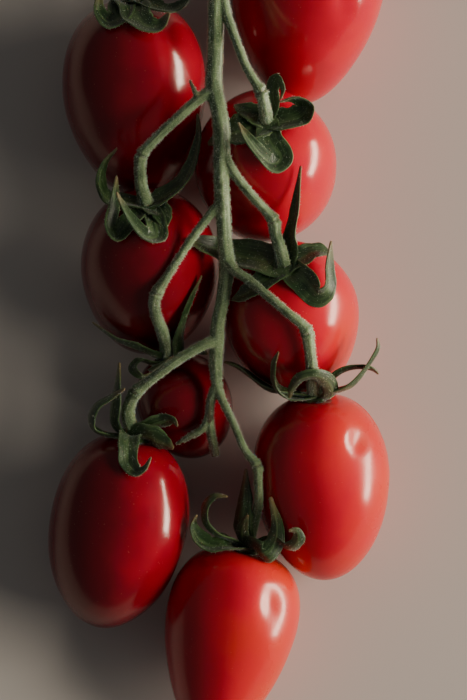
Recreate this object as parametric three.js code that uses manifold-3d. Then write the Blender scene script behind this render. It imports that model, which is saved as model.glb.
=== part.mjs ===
// A truss of nine mini plum tomatoes on its green stem, as picked, lying on its back.
// Millimetres. +Y runs to the cut top of the stem, +Z is up, and the fruits rest on z = 0.

import * as THREE from "three";
import { mergeVertices } from "three/addons/utils/BufferGeometryUtils.js";
import Module from "manifold-3d";

const wasm = await Module();
wasm.setup();

// Driving dimensions, in millimetres
const GAP = 0.35; // air between a calyx and the fruit and stalk that it fits
const BELLY_FLAT = 0.2; // how deep each fruit's skin is pressed flat where it rests
const DIMPLE_DEPTH = 1.8; // hollow at the stalk end of a fruit
const DIMPLE_RADIUS = 4;
const LOBES = 5; // soft ribs round a fruit's shoulders
const LOBE_HEIGHT = 0.014; // as a share of the fruit's half width
const STALK_END_LIFT = 1.7; // from the bottom of the dimple to the end of the stalk
const STALK_END_RADIUS = 1.9;
const CALYX_RADIUS = 3.8; // the small disc that the sepals grow from
const CALYX_THICKNESS = 2.4;
const BLADE_HALF_THICKNESS = 0.55; // of a sepal at its midrib
const BLADE_CUP = 0.25; // how far a sepal's edges stand up, as a share of its half width
const BLADE_PROFILE = [0.85, 1.05, 1.05, 0.95, 0.76, 0.5, 0.24]; // width along a sepal, root to tip
const FRUIT_SIDES = 22;
const FRUIT_RINGS = 12;
const STEM_SIDES = 7;
const BLADE_SIDES = 6;
const BLADE_STEPS = 6;

// The fruits: centre, half length, half width, lean in the surface's plane and rise of the
// stalk end above it in degrees, and how much narrower the tip is than the shoulders.
const FRUITS = [
  { x: -21.25, y: 48, length: 25.4, width: 18.2, lean: 3, rise: 20, taper: 0.17 },
  { x: 21.25, y: 71, length: 25.6, width: 19.5, lean: -5, rise: 21, taper: 0.28 },
  { x: 11.5, y: 30.5, length: 21.6, width: 18, lean: 0, rise: 58, taper: 0.08 },
  { x: -17.75, y: 4, length: 22.8, width: 17.4, lean: 1, rise: 40, taper: 0.12 },
  { x: 18, y: -7.75, length: 22.2, width: 17, lean: 9, rise: 52, taper: 0.08 },
  { x: -8.75, y: -29, length: 14.4, width: 12, lean: 22, rise: 30, taper: 0.05 },
  { x: 25.5, y: -49.5, length: 24, width: 17.5, lean: 4, rise: 14, taper: 0.14 },
  { x: -25.75, y: -60.5, length: 25, width: 17.6, lean: -11, rise: 12, taper: 0.1 },
  { x: 1.5, y: -89.25, length: 25.6, width: 16.9, lean: -12, rise: 6, taper: 0.34 },
];
const SHOULDER_FULLNESS = 0.87; // below 1 the shoulders are rounder than an ellipse's
const TIP_FULLNESS = 0.95;

// The main stem from its cut top down to its dried end: x, y, z and radius.
const MAIN_STEM = [
  [-0.5, 113.75, 33, 2.1], [-0.5, 101, 35.5, 2.3], [-1, 93, 37, 2.1], [-1, 86, 38, 2.3],
  [-1, 72.5, 39.5, 2.05], [-1.25, 58, 40.5, 2.05], [-1.5, 50, 40.8, 2.3], [-0.25, 44, 41, 2.15],
  [0.5, 37.5, 41.2, 2.3], [0.25, 31, 41.2, 2], [0.5, 25, 40.6, 2.1], [0.75, 19.25, 39.6, 2],
  [1.25, 11, 37.2, 1.95], [1.75, 6, 35.6, 2.25], [1.25, 1.5, 34.4, 1.95], [0.5, -3.5, 33.5, 1.8],
  [-0.5, -8, 33, 1.85], [-0.75, -12, 32.2, 2], [-1, -16, 30.8, 1.85], [-1, -20, 29.2, 1.75],
  [-0.75, -24, 27.4, 1.5],
];

// The stalk of each fruit, from inside the main stem over its swollen joint to just before the
// fruit: x, y, z and radius.
const STALKS = [
  [
    [-1, 86, 38, 1.7], [-3.75, 85, 38.6, 1.5], [-8.75, 82.5, 38.8, 1.35], [-13.75, 80.25, 37.8, 1.4],
    [-17.25, 78.5, 36, 1.8], [-20, 76, 33.2, 1.6], [-21.5, 73.75, 30, 1.7],
  ],
  [
    [-0.5, 101, 35.5, 1.7], [3, 101.75, 36.2, 1.5], [8.75, 102, 36.4, 1.35], [13, 101.5, 35.6, 1.4],
    [15.75, 100.5, 34.4, 1.8], [19, 98.5, 31.6, 1.6], [21.5, 96.75, 29, 1.7],
  ],
  [
    [-1, 77, 39.2, 1.6], [0.75, 72.5, 39.8, 1.4], [1.75, 67.75, 40.8, 1.25], [4.25, 60.5, 42.8, 1.2],
    [6.25, 55.25, 44.2, 1.2], [8.75, 50.75, 45.2, 1.25], [10, 48.75, 45.1, 1.7], [10.75, 46.25, 44, 1.55],
    [11.25, 43.5, 41.4, 1.7],
  ],
  [
    [-1.25, 49.5, 40.8, 1.8], [-4.75, 47.25, 41.2, 1.5], [-10.5, 42.25, 41.4, 1.35], [-16, 37, 41, 1.35],
    [-19.25, 33.25, 40, 1.6], [-19.75, 30.5, 38.6, 1.55], [-19.5, 26, 36.6, 1.6], [-18.75, 23, 35, 1.75],
  ],
  [
    [0.25, 36, 41.2, 1.6], [2, 31.25, 41.4, 1.4], [3.75, 28.25, 41.3, 1.3], [7.75, 23.25, 40.7, 1.3],
    [11.25, 19.5, 39.7, 1.3], [13.25, 17, 38.9, 1.75], [13.75, 13.5, 38.3, 1.6], [15, 9.75, 37.9, 1.75],
  ],
  [
    [0.5, 21.5, 39.8, 1.5], [-1.75, 19.25, 39.8, 1.3], [-5.5, 14.5, 39.5, 1.2], [-9.5, 8.75, 39.8, 1.15],
    [-13, 3.25, 39.9, 1.2], [-15.5, -0.75, 38.9, 1.6], [-16.25, -3.5, 37, 1.5], [-15.75, -6.75, 34.4, 1.5],
    [-14.5, -10, 31, 1.55], [-13.5, -13.5, 26.6, 1.6],
  ],
  [
    [1.5, 7.5, 36.2, 1.6], [3.75, 4.75, 37.8, 1.4], [7.5, 2, 39.4, 1.3], [12.5, -2.25, 42, 1.25],
    [17.5, -6.5, 42.8, 1.25], [20.25, -8.75, 42.6, 1.35], [21.5, -10.5, 41.9, 1.75],
    [22, -13.5, 40, 1.5], [22.5, -17.25, 36.8, 1.5], [23, -21, 32.2, 1.6], [23.25, -23.75, 27.6, 1.75],
  ],
  [
    [-0.75, -12.5, 32.2, 1.7], [-3, -13.25, 33, 1.5], [-6, -14.75, 33.6, 1.4], [-10.25, -17.25, 33.4, 1.35],
    [-14.75, -20.5, 32.2, 1.35], [-18.75, -23.5, 30.6, 1.45], [-20.75, -25.25, 29.4, 1.75],
    [-22.25, -27.75, 27.6, 1.65], [-23, -31, 25.4, 1.75],
  ],
  [
    [-0.75, -23.5, 27.6, 1.4], [0.25, -26.75, 27.6, 1.2], [3, -32.5, 27.9, 1.1], [6.25, -40, 28.3, 1.1],
    [9.25, -44, 28.6, 1.5], [9.5, -47.75, 28.7, 1.25], [9.5, -53.75, 25.6, 1.3], [8, -60, 21.6, 1.5],
  ],
];

// What is left at the end of the main stem: a short fork whose buds dropped off, and the
// little bract in the crook of the fourth stalk.
const STUBS = [
  [[-0.75, -23.5, 27.5, 1.45], [-2.25, -27.5, 26.4, 1.3], [-2.75, -32.5, 25.6, 1.25]],
  [[-2.75, -31.25, 25.7, 1.25], [-4.25, -34.5, 25.2, 1.1], [-7.5, -36.5, 24.6, 0.95],
    [-11, -38.5, 23.6, 0.55]],
  [[-2.75, -31.25, 25.7, 1.25], [-2, -37, 24.6, 1.3], [-1, -41.5, 23.4, 1.25]],
  [[-5.25, 46.75, 41.2, 0.9], [-6.5, 49.5, 42.6, 0.7], [-7.5, 51.75, 43.4, 0.45]],
];

// The sepals of each fruit: widest width, and points from near the calyx out to the tip.
const SEPALS = [
  [
    [5, [-24.5, 71, 30], [-26, 68.5, 33.5], [-28.5, 67.5, 34], [-30.25, 70, 33.5], [-29.5, 74.5, 34]],
    [6, [-21.5, 71, 31], [-20, 67.5, 35], [-17.5, 65, 36.8], [-14.5, 65.5, 36.5], [-12.5, 68.5, 36.5]],
    [5.5, [-19, 71.5, 29.5], [-15, 69.5, 32.5], [-11, 69.5, 32.5], [-8, 72, 32.5], [-8.5, 76, 33]],
    [4, [-25, 74, 27.5], [-28.5, 77, 29], [-31, 80.5, 31.5]],
    [4, [-19, 74, 27], [-14.5, 77, 29], [-11, 80.5, 31.5]],
  ],
  [
    [5, [20.5, 94, 29], [17.5, 91.5, 34], [13.5, 89, 36.3], [10.5, 90, 37.5]],
    [5.5, [23.5, 93.5, 31.5], [24, 89.5, 37], [23.5, 84.5, 40.3], [21, 80.5, 42.5]],
    [5, [26, 94, 29], [29.5, 91.5, 32.5], [33.5, 89.5, 33.5], [36.5, 91, 34.5]],
    [4, [27, 97, 27], [30.5, 100.5, 29], [29.5, 104.5, 32]],
    [4, [19.5, 96.5, 23.5], [15.5, 99, 21.5]],
  ],
  [
    [6.5, [16.5, 41.5, 39.4], [20.5, 43, 38.5], [21.75, 45.5, 39], [18.5, 47.25, 41],
      [14.75, 46.25, 42]],
    [3.5, [13.25, 45.5, 39.5], [13.25, 50, 41.5], [14.5, 52, 43], [15.75, 49.5, 44], [15, 46.75, 44.5]],
    [5.5, [14, 35.5, 42.5], [15.25, 32, 43.2], [13, 30.75, 44.5], [9.5, 33.5, 46],
      [6.5, 37.5, 46.2], [4.5, 41, 45]],
    [9, [6.5, 39.5, 40], [2, 38, 39], [-3, 36, 36.5]],
    [6, [7.5, 43.5, 38.7], [3.5, 45.5, 37.5]],
  ],
  [
    [5.5, [-14.5, 22.5, 34], [-9.5, 26, 34.5], [-6.5, 31.5, 35.5], [-5, 38, 36.3], [-5.5, 43.5, 36.5]],
    [5, [-23, 21.5, 34], [-28, 22.5, 33.5], [-30, 26, 34], [-29, 31, 35], [-25.5, 35, 35]],
    [5, [-22, 17, 38.2], [-25.5, 13.5, 38.7], [-27.5, 15.5, 39.5], [-26.5, 20.5, 39],
      [-26, 24.5, 38.5], [-25.5, 28, 38.5]],
    [5, [-16, 16.5, 38.9], [-15.5, 13, 40.7], [-18, 12.75, 42.3], [-21.5, 16.5, 42],
      [-24, 20.5, 41.5], [-25.5, 24, 42]],
    [6, [-14.5, 18.5, 37.5], [-13.5, 15, 39.3]],
  ],
  [
    [7, [17.75, 9.5, 36.5], [18, 13.5, 37.5], [19, 20.5, 39.5], [20, 30.5, 41.5]],
    [6, [20.5, 8, 37], [24.5, 9.5, 36], [28, 8.5, 35]],
    [6.5, [20.5, 2.5, 40.7], [24.25, -1.25, 41.2], [26.5, 0, 41.5], [26.75, 5.5, 40.5],
      [27.5, 12, 39.5]],
    [9, [10.5, 7, 36.5], [6, 8, 34.5], [0, 9.5, 33], [-4.5, 11, 35], [-8.5, 12.25, 37.3]],
    [6, [11, 2, 39.4], [6.5, -1, 37.8], [3, -2.5, 34.5]],
  ],
  [
    [5, [-9.75, -16.5, 22.5], [-9.75, -12, 27], [-8.5, -7, 31], [-6.5, -1.5, 33], [-4.5, 3.5, 34.5]],
    [4.5, [-16.5, -16.5, 23.5], [-21, -14.5, 26], [-26, -12.5, 25.5], [-32, -8, 23.5]],
    [3.5, [-17, -18.5, 23.5], [-20, -17.75, 26], [-21.5, -19.5, 27], [-19.5, -21.5, 26.5],
      [-17, -20.75, 26]],
    [3.5, [-8, -16, 24], [-5, -15.5, 26], [-3, -16, 27]],
    [3, [-14, -18.5, 24.5], [-16.5, -20, 28], [-14.5, -18.5, 29.5], [-11.5, -16.5, 29.5]],
  ],
  [
    [5.5, [19, -27, 25], [15.25, -26, 27], [13, -22.75, 31], [13, -18.5, 35], [14.5, -15.5, 38]],
    [6, [17.5, -25.75, 23.5], [12.5, -25.25, 25.5], [7.5, -21.75, 25.5], [3.5, -19, 26], [1, -18, 26]],
    [4, [27.5, -26.75, 26.5], [27.25, -23.5, 31.5], [23.5, -21.25, 36.5], [20, -22, 36],
      [18, -24.5, 31.5], [17.25, -27, 28.5]],
    [4.5, [28.5, -25.75, 26.5], [33, -24, 28], [37, -19, 29.5], [39.5, -14.5, 31], [39, -12, 32]],
    [4, [27.5, -22.75, 26.5], [31, -20.25, 27.5], [35, -19.5, 27], [38, -20, 27], [39.5, -21, 26]],
  ],
  [
    [5.5, [-26, -35, 24.5], [-27, -32, 26.5], [-26.5, -28, 28.5], [-25.75, -23.5, 30], [-25, -18, 30.5]],
    [4, [-28, -36.5, 25.5], [-31.5, -35, 26.5], [-32.5, -32.5, 28], [-31, -29, 29.5],
      [-27, -26.5, 31], [-23.5, -24.5, 33]],
    [5, [-22.5, -36.5, 27], [-23, -39.5, 31.5], [-22.75, -43.25, 33.8], [-20.5, -45.5, 35.2],
      [-18.5, -44.5, 36.2], [-17, -41.5, 36.5]],
    [6.5, [-18.5, -36.5, 26], [-14.5, -38, 27], [-11.5, -39.5, 27.5]],
    [4.5, [-18.5, -34.5, 25], [-14.5, -33, 26.5], [-12, -32.5, 28], [-10.5, -34, 28.5]],
  ],
  [
    [5.5, [1.5, -64, 24.5], [-2.5, -64, 25], [-5.5, -61.75, 25.5], [-7, -58.5, 26.5], [-5.75, -56, 28]],
    [4, [2, -62.25, 22], [-1.5, -61, 24], [-4, -58, 26], [-4, -54, 27.5], [-1.5, -51.25, 28.5],
      [2, -51.5, 29]],
    [5.5, [5.25, -59.5, 23], [6, -52.5, 25.5], [6.5, -44.5, 27.5]],
    [3, [5.5, -60.5, 24.5], [6, -58, 27.5], [7, -56, 29]],
    [6, [8, -64, 23.5], [11, -66, 27], [13.5, -63.5, 27], [14.25, -59, 28.5], [12.5, -51.5, 30.2]],
    [4.5, [11, -63.25, 22], [14.5, -63, 25.5], [17, -64.5, 28], [19.5, -62.5, 30.5], [19, -60, 32],
      [17, -59.75, 32.5]],
  ],
];

const material = (color, roughness) => new THREE.MeshStandardMaterial({ color, roughness, metalness: 0 });
const SKIN = material(0xa8140c, 0.25);
const STEM_GREEN = material(0x5f7440, 0.7);
const SEPAL_GREEN = material(0x3f5529, 0.75);

// A closed geometry as a solid, and back.
function toSolid(geometry) {
  geometry.deleteAttribute("normal");
  geometry.deleteAttribute("uv");
  const merged = mergeVertices(geometry, 1e-4);
  return new wasm.Manifold(new wasm.Mesh({
    numProp: 3,
    vertProperties: new Float32Array(merged.attributes.position.array),
    triVerts: new Uint32Array(merged.index.array),
  }));
}

function toMesh(solid, name, skin) {
  const { vertProperties, triVerts } = solid.getMesh();
  const geometry = new THREE.BufferGeometry();
  geometry.setAttribute("position", new THREE.BufferAttribute(new Float32Array(vertProperties), 3));
  geometry.setIndex(new THREE.BufferAttribute(new Uint32Array(triVerts), 1));
  geometry.computeVertexNormals();
  const mesh = new THREE.Mesh(geometry, skin);
  mesh.name = name;
  return mesh;
}

function largestBody(solid) {
  return solid.decompose().reduce((best, body) => (body.volume() > best.volume() ? body : best));
}

// The direction of a fruit's stalk end.
function fruitAxis({ lean, rise }) {
  const axis = new THREE.Vector3(0, 1, 0);
  axis.applyAxisAngle(new THREE.Vector3(1, 0, 0), THREE.MathUtils.degToRad(rise));
  return axis.applyAxisAngle(new THREE.Vector3(0, 0, 1), THREE.MathUtils.degToRad(lean));
}

// A fruit's skin round its own centre: a ball stretched along Y, narrower at the tip, with a
// dimple at the stalk end. The grown skin stands outside the real one.
function fruitGeometry(fruit, grow) {
  const geometry = new THREE.SphereGeometry(1, FRUIT_SIDES, FRUIT_RINGS);
  const points = geometry.attributes.position;
  const point = new THREE.Vector3();
  const widest = (1 + fruit.taper ** 2) ** 0.5;
  for (let i = 0; i < points.count; i++) {
    point.fromBufferAttribute(points, i);
    const around = Math.atan2(point.z, point.x);
    const radial = Math.min(1, Math.hypot(point.x, point.z));
    const fullness = THREE.MathUtils.lerp(TIP_FULLNESS, SHOULDER_FULLNESS, (1 + point.y) / 2);
    const lobe = 1 + LOBE_HEIGHT * Math.cos(LOBES * around) * radial * Math.max(0, point.y);
    const swell = radial ** fullness * (1 + fruit.taper * point.y) * lobe / widest;
    const reach = fruit.width * swell + grow * radial;
    const dimple = point.y > 0 ? DIMPLE_DEPTH * Math.exp(-((reach / DIMPLE_RADIUS) ** 2)) : 0;
    points.setXYZ(
      i, reach * Math.cos(around), (fruit.length + grow) * point.y - dimple, reach * Math.sin(around),
    );
  }
  geometry.rotateX(THREE.MathUtils.degToRad(fruit.rise));
  geometry.rotateZ(THREE.MathUtils.degToRad(fruit.lean));
  return geometry;
}

// Where a fruit's centre is when its lowest skin is pressed flat on the surface.
function fruitCentre(fruit) {
  const geometry = fruitGeometry(fruit, 0);
  geometry.computeBoundingBox();
  return new THREE.Vector3(fruit.x, fruit.y, -geometry.boundingBox.min.z - BELLY_FLAT);
}

function fruitSolid(fruit, grow) {
  const geometry = fruitGeometry(fruit, grow);
  const centre = fruitCentre(fruit);
  geometry.translate(centre.x, centre.y, centre.z);
  return toSolid(geometry);
}

// The bottom of a fruit's dimple, raised along its axis.
function dimplePoint(fruit, lift) {
  return fruitCentre(fruit).addScaledVector(fruitAxis(fruit), fruit.length - DIMPLE_DEPTH + lift);
}

// A rod bent along a route: its rings are carried along the curve without twisting, and
// halfSize gives each ring's half width and half thickness, with its edges cupped.
function sweep(curve, sides, steps, firstNormal, halfSize, cup) {
  const geometry = new THREE.CylinderGeometry(1, 1, 1, sides, steps);
  const rings = [];
  const normal = firstNormal.clone();
  for (let i = 0; i <= steps; i++) {
    const along = curve.getTangent(i / steps);
    normal.addScaledVector(along, -normal.dot(along)).normalize();
    const across = new THREE.Vector3().crossVectors(along, normal);
    rings.push({ centre: curve.getPoint(i / steps), across, normal: normal.clone() });
  }
  const points = geometry.attributes.position;
  for (let i = 0; i < points.count; i++) {
    const share = points.getY(i) + 0.5;
    const ring = rings[Math.round(share * steps)];
    const { width, thickness } = halfSize(share);
    const side = points.getX(i);
    const point = ring.centre.clone().addScaledVector(ring.across, side * width);
    point.addScaledVector(ring.normal, points.getZ(i) * thickness + cup * width * side * side);
    points.setXYZ(i, point.x, point.y, point.z);
  }
  return toSolid(geometry);
}

// The value between the entries of a list, at a share of its length.
function between(list, share) {
  const place = share * (list.length - 1);
  const before = Math.min(Math.floor(place), list.length - 2);
  return THREE.MathUtils.lerp(list[before], list[before + 1], place - before);
}

function curveThrough(points) {
  return new THREE.CatmullRomCurve3(points.map(([x, y, z]) => new THREE.Vector3(x, y, z)));
}

function rod(route, stepsPerPoint, grow) {
  const radii = route.map((point) => point[3] + grow);
  const steps = (route.length - 1) * stepsPerPoint;
  const halfSize = (share) => ({ width: between(radii, share), thickness: between(radii, share) });
  return sweep(curveThrough(route), STEM_SIDES, steps, new THREE.Vector3(0, 0, 1), halfSize, 0);
}

// The main stem with its stalks and stubs, fused where they grow out of it.
function stemSolid(grow) {
  const stalks = STALKS.map((route, i) => [
    ...route, [...dimplePoint(FRUITS[i], STALK_END_LIFT - grow).toArray(), STALK_END_RADIUS],
  ]);
  let stem = rod(MAIN_STEM, 1, grow);
  for (const route of [...stalks, ...STUBS]) {
    stem = stem.add(rod(route, 2, grow));
  }
  return stem;
}

function sepal(fruit, [width, ...points]) {
  const root = dimplePoint(fruit, CALYX_THICKNESS / 3);
  const halfSize = (share) => ({
    width: width / 2 * between(BLADE_PROFILE, share),
    thickness: BLADE_HALF_THICKNESS,
  });
  const curve = curveThrough([root.toArray(), ...points]);
  return sweep(curve, BLADE_SIDES, BLADE_STEPS, fruitAxis(fruit), halfSize, BLADE_CUP);
}

// A calyx: a small disc in the fruit's dimple with its star of sepals, kept clear of every
// fruit and stalk.
function calyxSolid(fruit, sepals, clearance) {
  const disc = new THREE.SphereGeometry(1, 10, 5);
  disc.scale(CALYX_RADIUS, CALYX_THICKNESS / 2, CALYX_RADIUS);
  disc.rotateX(THREE.MathUtils.degToRad(fruit.rise));
  disc.rotateZ(THREE.MathUtils.degToRad(fruit.lean));
  const centre = dimplePoint(fruit, CALYX_THICKNESS / 2);
  disc.translate(centre.x, centre.y, centre.z);
  let calyx = toSolid(disc);
  for (const blade of sepals) {
    calyx = calyx.add(sepal(fruit, blade));
  }
  for (const solid of clearance) {
    calyx = calyx.subtract(solid);
  }
  return largestBody(calyx);
}

const ground = toSolid(new THREE.BoxGeometry(400, 400, 20).translate(0, 0, -10));
const clearance = [stemSolid(GAP), ...FRUITS.map((fruit) => fruitSolid(fruit, GAP))];

const truss = new THREE.Group();
truss.add(toMesh(stemSolid(0), "truss_stem", STEM_GREEN));
FRUITS.forEach((fruit, i) => {
  truss.add(toMesh(calyxSolid(fruit, SEPALS[i], clearance), `calyx_${i + 1}`, SEPAL_GREEN));
  truss.add(toMesh(fruitSolid(fruit, 0).subtract(ground), `tomato_${i + 1}`, SKIN));
});

export default truss;
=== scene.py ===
# %% [markdown]
# # A truss of nine mini plum tomatoes
# The truss lies on its back on a pale table and is seen from straight above. We keep the packed
# pieces as the frame that fixes every place and size, and put a finer piece over each of them:
# nine glossy fruits, one branching stem, nine stars of curled sepals, and the fine hair on the
# green parts.

# %% Load the frame
import math
import random

import bmesh
import bpy
from mathutils import Matrix, Vector, kdtree, noise
from mathutils.bvhtree import BVHTree


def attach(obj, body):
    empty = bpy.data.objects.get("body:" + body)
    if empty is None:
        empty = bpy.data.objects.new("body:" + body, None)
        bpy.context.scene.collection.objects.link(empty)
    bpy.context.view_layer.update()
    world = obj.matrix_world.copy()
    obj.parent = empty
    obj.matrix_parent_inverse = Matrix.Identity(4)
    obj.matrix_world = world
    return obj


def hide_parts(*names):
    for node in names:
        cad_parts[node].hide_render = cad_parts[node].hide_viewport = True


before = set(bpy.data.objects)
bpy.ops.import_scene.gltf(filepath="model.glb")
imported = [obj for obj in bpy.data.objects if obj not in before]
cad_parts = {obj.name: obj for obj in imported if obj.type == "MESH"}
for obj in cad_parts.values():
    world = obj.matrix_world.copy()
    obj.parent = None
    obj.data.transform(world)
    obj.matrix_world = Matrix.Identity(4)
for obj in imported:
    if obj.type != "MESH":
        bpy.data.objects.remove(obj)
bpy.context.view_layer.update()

MM = 0.001
print("pieces in the frame:", len(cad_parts))


def start_clean():
    """Leaves nothing selected, so that the next step works on its own piece alone."""
    bpy.ops.object.select_all(action="DESELECT")


# %% [markdown]
# ## The camera
# The truss is seen from straight above, from far away, so that it hardly shows perspective. A
# long lens does that. The lens follows from the height of the picture on the table: the picture
# is 700 pixels tall, and each pixel is a quarter of a millimetre.

# %% Camera over the truss
PICTURE = Vector((467, 700))  # pixels
PIXEL = 0.25 * MM
ORIGIN_PIXEL = Vector((220, 290))  # where the frame's origin is in the picture
CAMERA_DISTANCE = 1.5
FOCUS_HEIGHT = 0.022  # the height above the table at which a pixel has its stated size
SENSOR = 36  # mm
FARTHEST_SEEN = 20

centre_pixel = (PICTURE / 2 - ORIGIN_PIXEL) * PIXEL
camera_place = (centre_pixel.x, -centre_pixel.y, FOCUS_HEIGHT + CAMERA_DISTANCE)
start_clean()
bpy.ops.object.camera_add(location=camera_place, rotation=(0, 0, 0))
camera = bpy.context.object
camera.data.sensor_width = SENSOR
camera.data.lens = SENSOR * CAMERA_DISTANCE / (PICTURE.y * PIXEL)
camera.data.clip_end = FARTHEST_SEEN
bpy.context.scene.camera = camera
print("lens in mm:", round(camera.data.lens, 1))

# %% [markdown]
# ## Table and light
# The light comes from a window on the right, low over the table, so each fruit gets one long
# highlight on its right side and falls off into deep red on its left. The low panel is the window.
# The high panel is a soft fill that lights the tops, and it is hidden from reflections so that it
# adds no second highlight. A weak grey sky fills the shadows. No panel shows to the camera.

# %% Pale table
TABLE_SIZE = 12
TABLE_COLOUR, TABLE_ROUGHNESS = (0.6, 0.57, 0.535), 0.75

start_clean()
bpy.ops.mesh.primitive_plane_add(size=TABLE_SIZE, location=(0, 0, 0))
table = bpy.context.object
table.name = "table"
table_paint = bpy.data.materials.new("pale_table")
table_paint.use_nodes = True
table_shader = table_paint.node_tree.nodes["Principled BSDF"]
table_shader.inputs["Base Color"].default_value = (*TABLE_COLOUR, 1)
table_shader.inputs["Roughness"].default_value = TABLE_ROUGHNESS
table.data.materials.append(table_paint)
print("table:", TABLE_SIZE, "m wide")

# %% Window panels and sky
LIGHT_AIM = Vector((0, -0.015, 0.02))  # about the middle of what the camera sees
WINDOW_LIGHT = (1.0, 0.89, 0.74)
# Name, position, width and height in metres, and watts.
WINDOW_LOW = ("window_low", (2.0, 0.0, 0.185), 1.45, 0.36, 53)
SOFT_FILL = ("soft_fill", (1.4, 0.0, 0.95), 1.32, 0.6, 27)
SKY_COLOUR, SKY_STRENGTH = (0.8, 0.78, 0.76), 0.11


def window_panel(name, position, width, height, watts):
    start_clean()
    turn = (LIGHT_AIM - Vector(position)).to_track_quat("-Z", "Y").to_euler()
    bpy.ops.object.light_add(type="AREA", location=position, rotation=turn)
    panel = bpy.context.object
    panel.name = name
    panel.data.shape = "RECTANGLE"
    panel.data.size = width
    panel.data.size_y = height
    panel.data.energy = watts
    panel.data.color = WINDOW_LIGHT
    panel.visible_camera = False
    return panel


window_panel(*WINDOW_LOW)
window_panel(*SOFT_FILL).visible_glossy = False
sky = bpy.data.worlds.new("soft_sky")
sky.use_nodes = True
sky.node_tree.nodes["Background"].inputs["Color"].default_value = (*SKY_COLOUR, 1)
sky.node_tree.nodes["Background"].inputs["Strength"].default_value = SKY_STRENGTH
bpy.context.scene.world = sky
print("panels:", WINDOW_LOW[0], SOFT_FILL[0])

# %% [markdown]
# ## Working by hand, in code
# Every piece starts as a primitive at its place. These helpers pick parts of it in edit mode, apply
# a modifier, and hand a finished piece over: it rides on the truss, gets its skin, and stands in
# for its packed node, which is hidden.

# %% Helpers for modelling
def select_where(piece, mode, chosen):
    """In edit mode, selects only the vertices or edges for which chosen is true."""
    bpy.ops.mesh.select_mode(type=mode)
    bpy.ops.mesh.select_all(action="DESELECT")
    mesh = bmesh.from_edit_mesh(piece.data)
    for element in {"VERT": mesh.verts, "EDGE": mesh.edges}[mode]:
        element.select_set(chosen(element))
    mesh.select_flush_mode()
    bmesh.update_edit_mesh(piece.data)


def close_seams(gap):
    """Ends edit mode with all points nearer than the gap merged and every face turned outward."""
    bpy.ops.mesh.select_all(action="SELECT")
    bpy.ops.mesh.remove_doubles(threshold=gap)
    bpy.ops.mesh.normals_make_consistent(inside=False)
    bpy.ops.object.mode_set(mode="OBJECT")


def apply_modifier(piece, kind, **settings):
    bpy.context.view_layer.objects.active = piece
    bpy.ops.object.modifier_add(type=kind)
    modifier = piece.modifiers[-1]
    for key, value in settings.items():
        setattr(modifier, key, value)
    bpy.ops.object.modifier_apply(modifier=modifier.name)


def join_pieces(parts, name):
    start_clean()
    for part in parts:
        part.select_set(True)
    bpy.context.view_layer.objects.active = parts[0]
    bpy.ops.object.join()
    joined = bpy.context.object
    joined.name = name
    return joined


def hand_over(piece, material, node=None):
    """Gives a finished piece its skin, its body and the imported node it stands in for."""
    piece.data.materials.clear()
    piece.data.materials.append(material)
    for polygon in piece.data.polygons:
        polygon.use_smooth = True
    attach(piece, "root")
    if node:
        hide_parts(node)


def write_marks(piece, marks):
    """Gives every point of the piece its own numbers, which a material can read by name."""
    for name, values in marks.items():
        attribute = piece.data.attributes.new(name, "FLOAT", "POINT")
        attribute.data.foreach_set("value", values)


# %% Helpers for materials
def start_material(name):
    material = bpy.data.materials.new(name)
    material.use_nodes = True
    return material, material.node_tree, material.node_tree.nodes["Principled BSDF"]


def add_node(tree, kind, values=None, **settings):
    node = tree.nodes.new(kind)
    for key, value in settings.items():
        setattr(node, key, value)
    for key, value in (values or {}).items():
        node.inputs[key].default_value = value
    return node


def set_sockets(shader, values):
    for name, value in values.items():
        shader.inputs[name].default_value = value


def add_noise(tree, coordinates, scale, detail=2.0):
    texture = add_node(tree, "ShaderNodeTexNoise", {"Scale": scale, "Detail": detail})
    tree.links.new(coordinates, texture.inputs["Vector"])
    return texture.outputs["Fac"]


def add_range(tree, value, span, result=(0.0, 1.0)):
    """Stretches the span onto the result, and holds what lies outside the span at its ends."""
    remap = add_node(tree, "ShaderNodeMapRange", {
        "From Min": span[0], "From Max": span[1], "To Min": result[0], "To Max": result[1],
    })
    tree.links.new(value, remap.inputs["Value"])
    return remap.outputs["Result"]


def add_math(tree, operation, first, second):
    node = add_node(tree, "ShaderNodeMath", operation=operation)
    for socket, value in zip(node.inputs, (first, second)):
        if isinstance(value, (int, float)):
            socket.default_value = value
        else:
            tree.links.new(value, socket)
    return node.outputs["Value"]


def add_bump(tree, height, size, below=None):
    """Relief of a size, given as its depth in metres and its strength, on any relief below it."""
    bump = add_node(tree, "ShaderNodeBump", {"Distance": size[0], "Strength": size[1]})
    tree.links.new(height, bump.inputs["Height"])
    if below is not None:
        tree.links.new(below, bump.inputs["Normal"])
    return bump.outputs["Normal"]


def read_attribute(tree, name):
    return add_node(tree, "ShaderNodeAttribute", attribute_name=name).outputs["Fac"]


# Mix nodes carry one pair of sockets for each kind of data, so the colour pair is picked by type.
def add_mix(tree, factor, first, second):
    mix = add_node(tree, "ShaderNodeMix", data_type="RGBA")
    tree.links.new(factor, mix.inputs[0])
    colour_sockets = [socket for socket in mix.inputs if socket.type == "RGBA"]
    for socket, colour in zip(colour_sockets, (first, second)):
        if isinstance(colour, tuple):
            socket.default_value = (*colour, 1)
        else:
            tree.links.new(colour, socket)
    return [socket for socket in mix.outputs if socket.type == "RGBA"][0]
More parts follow.
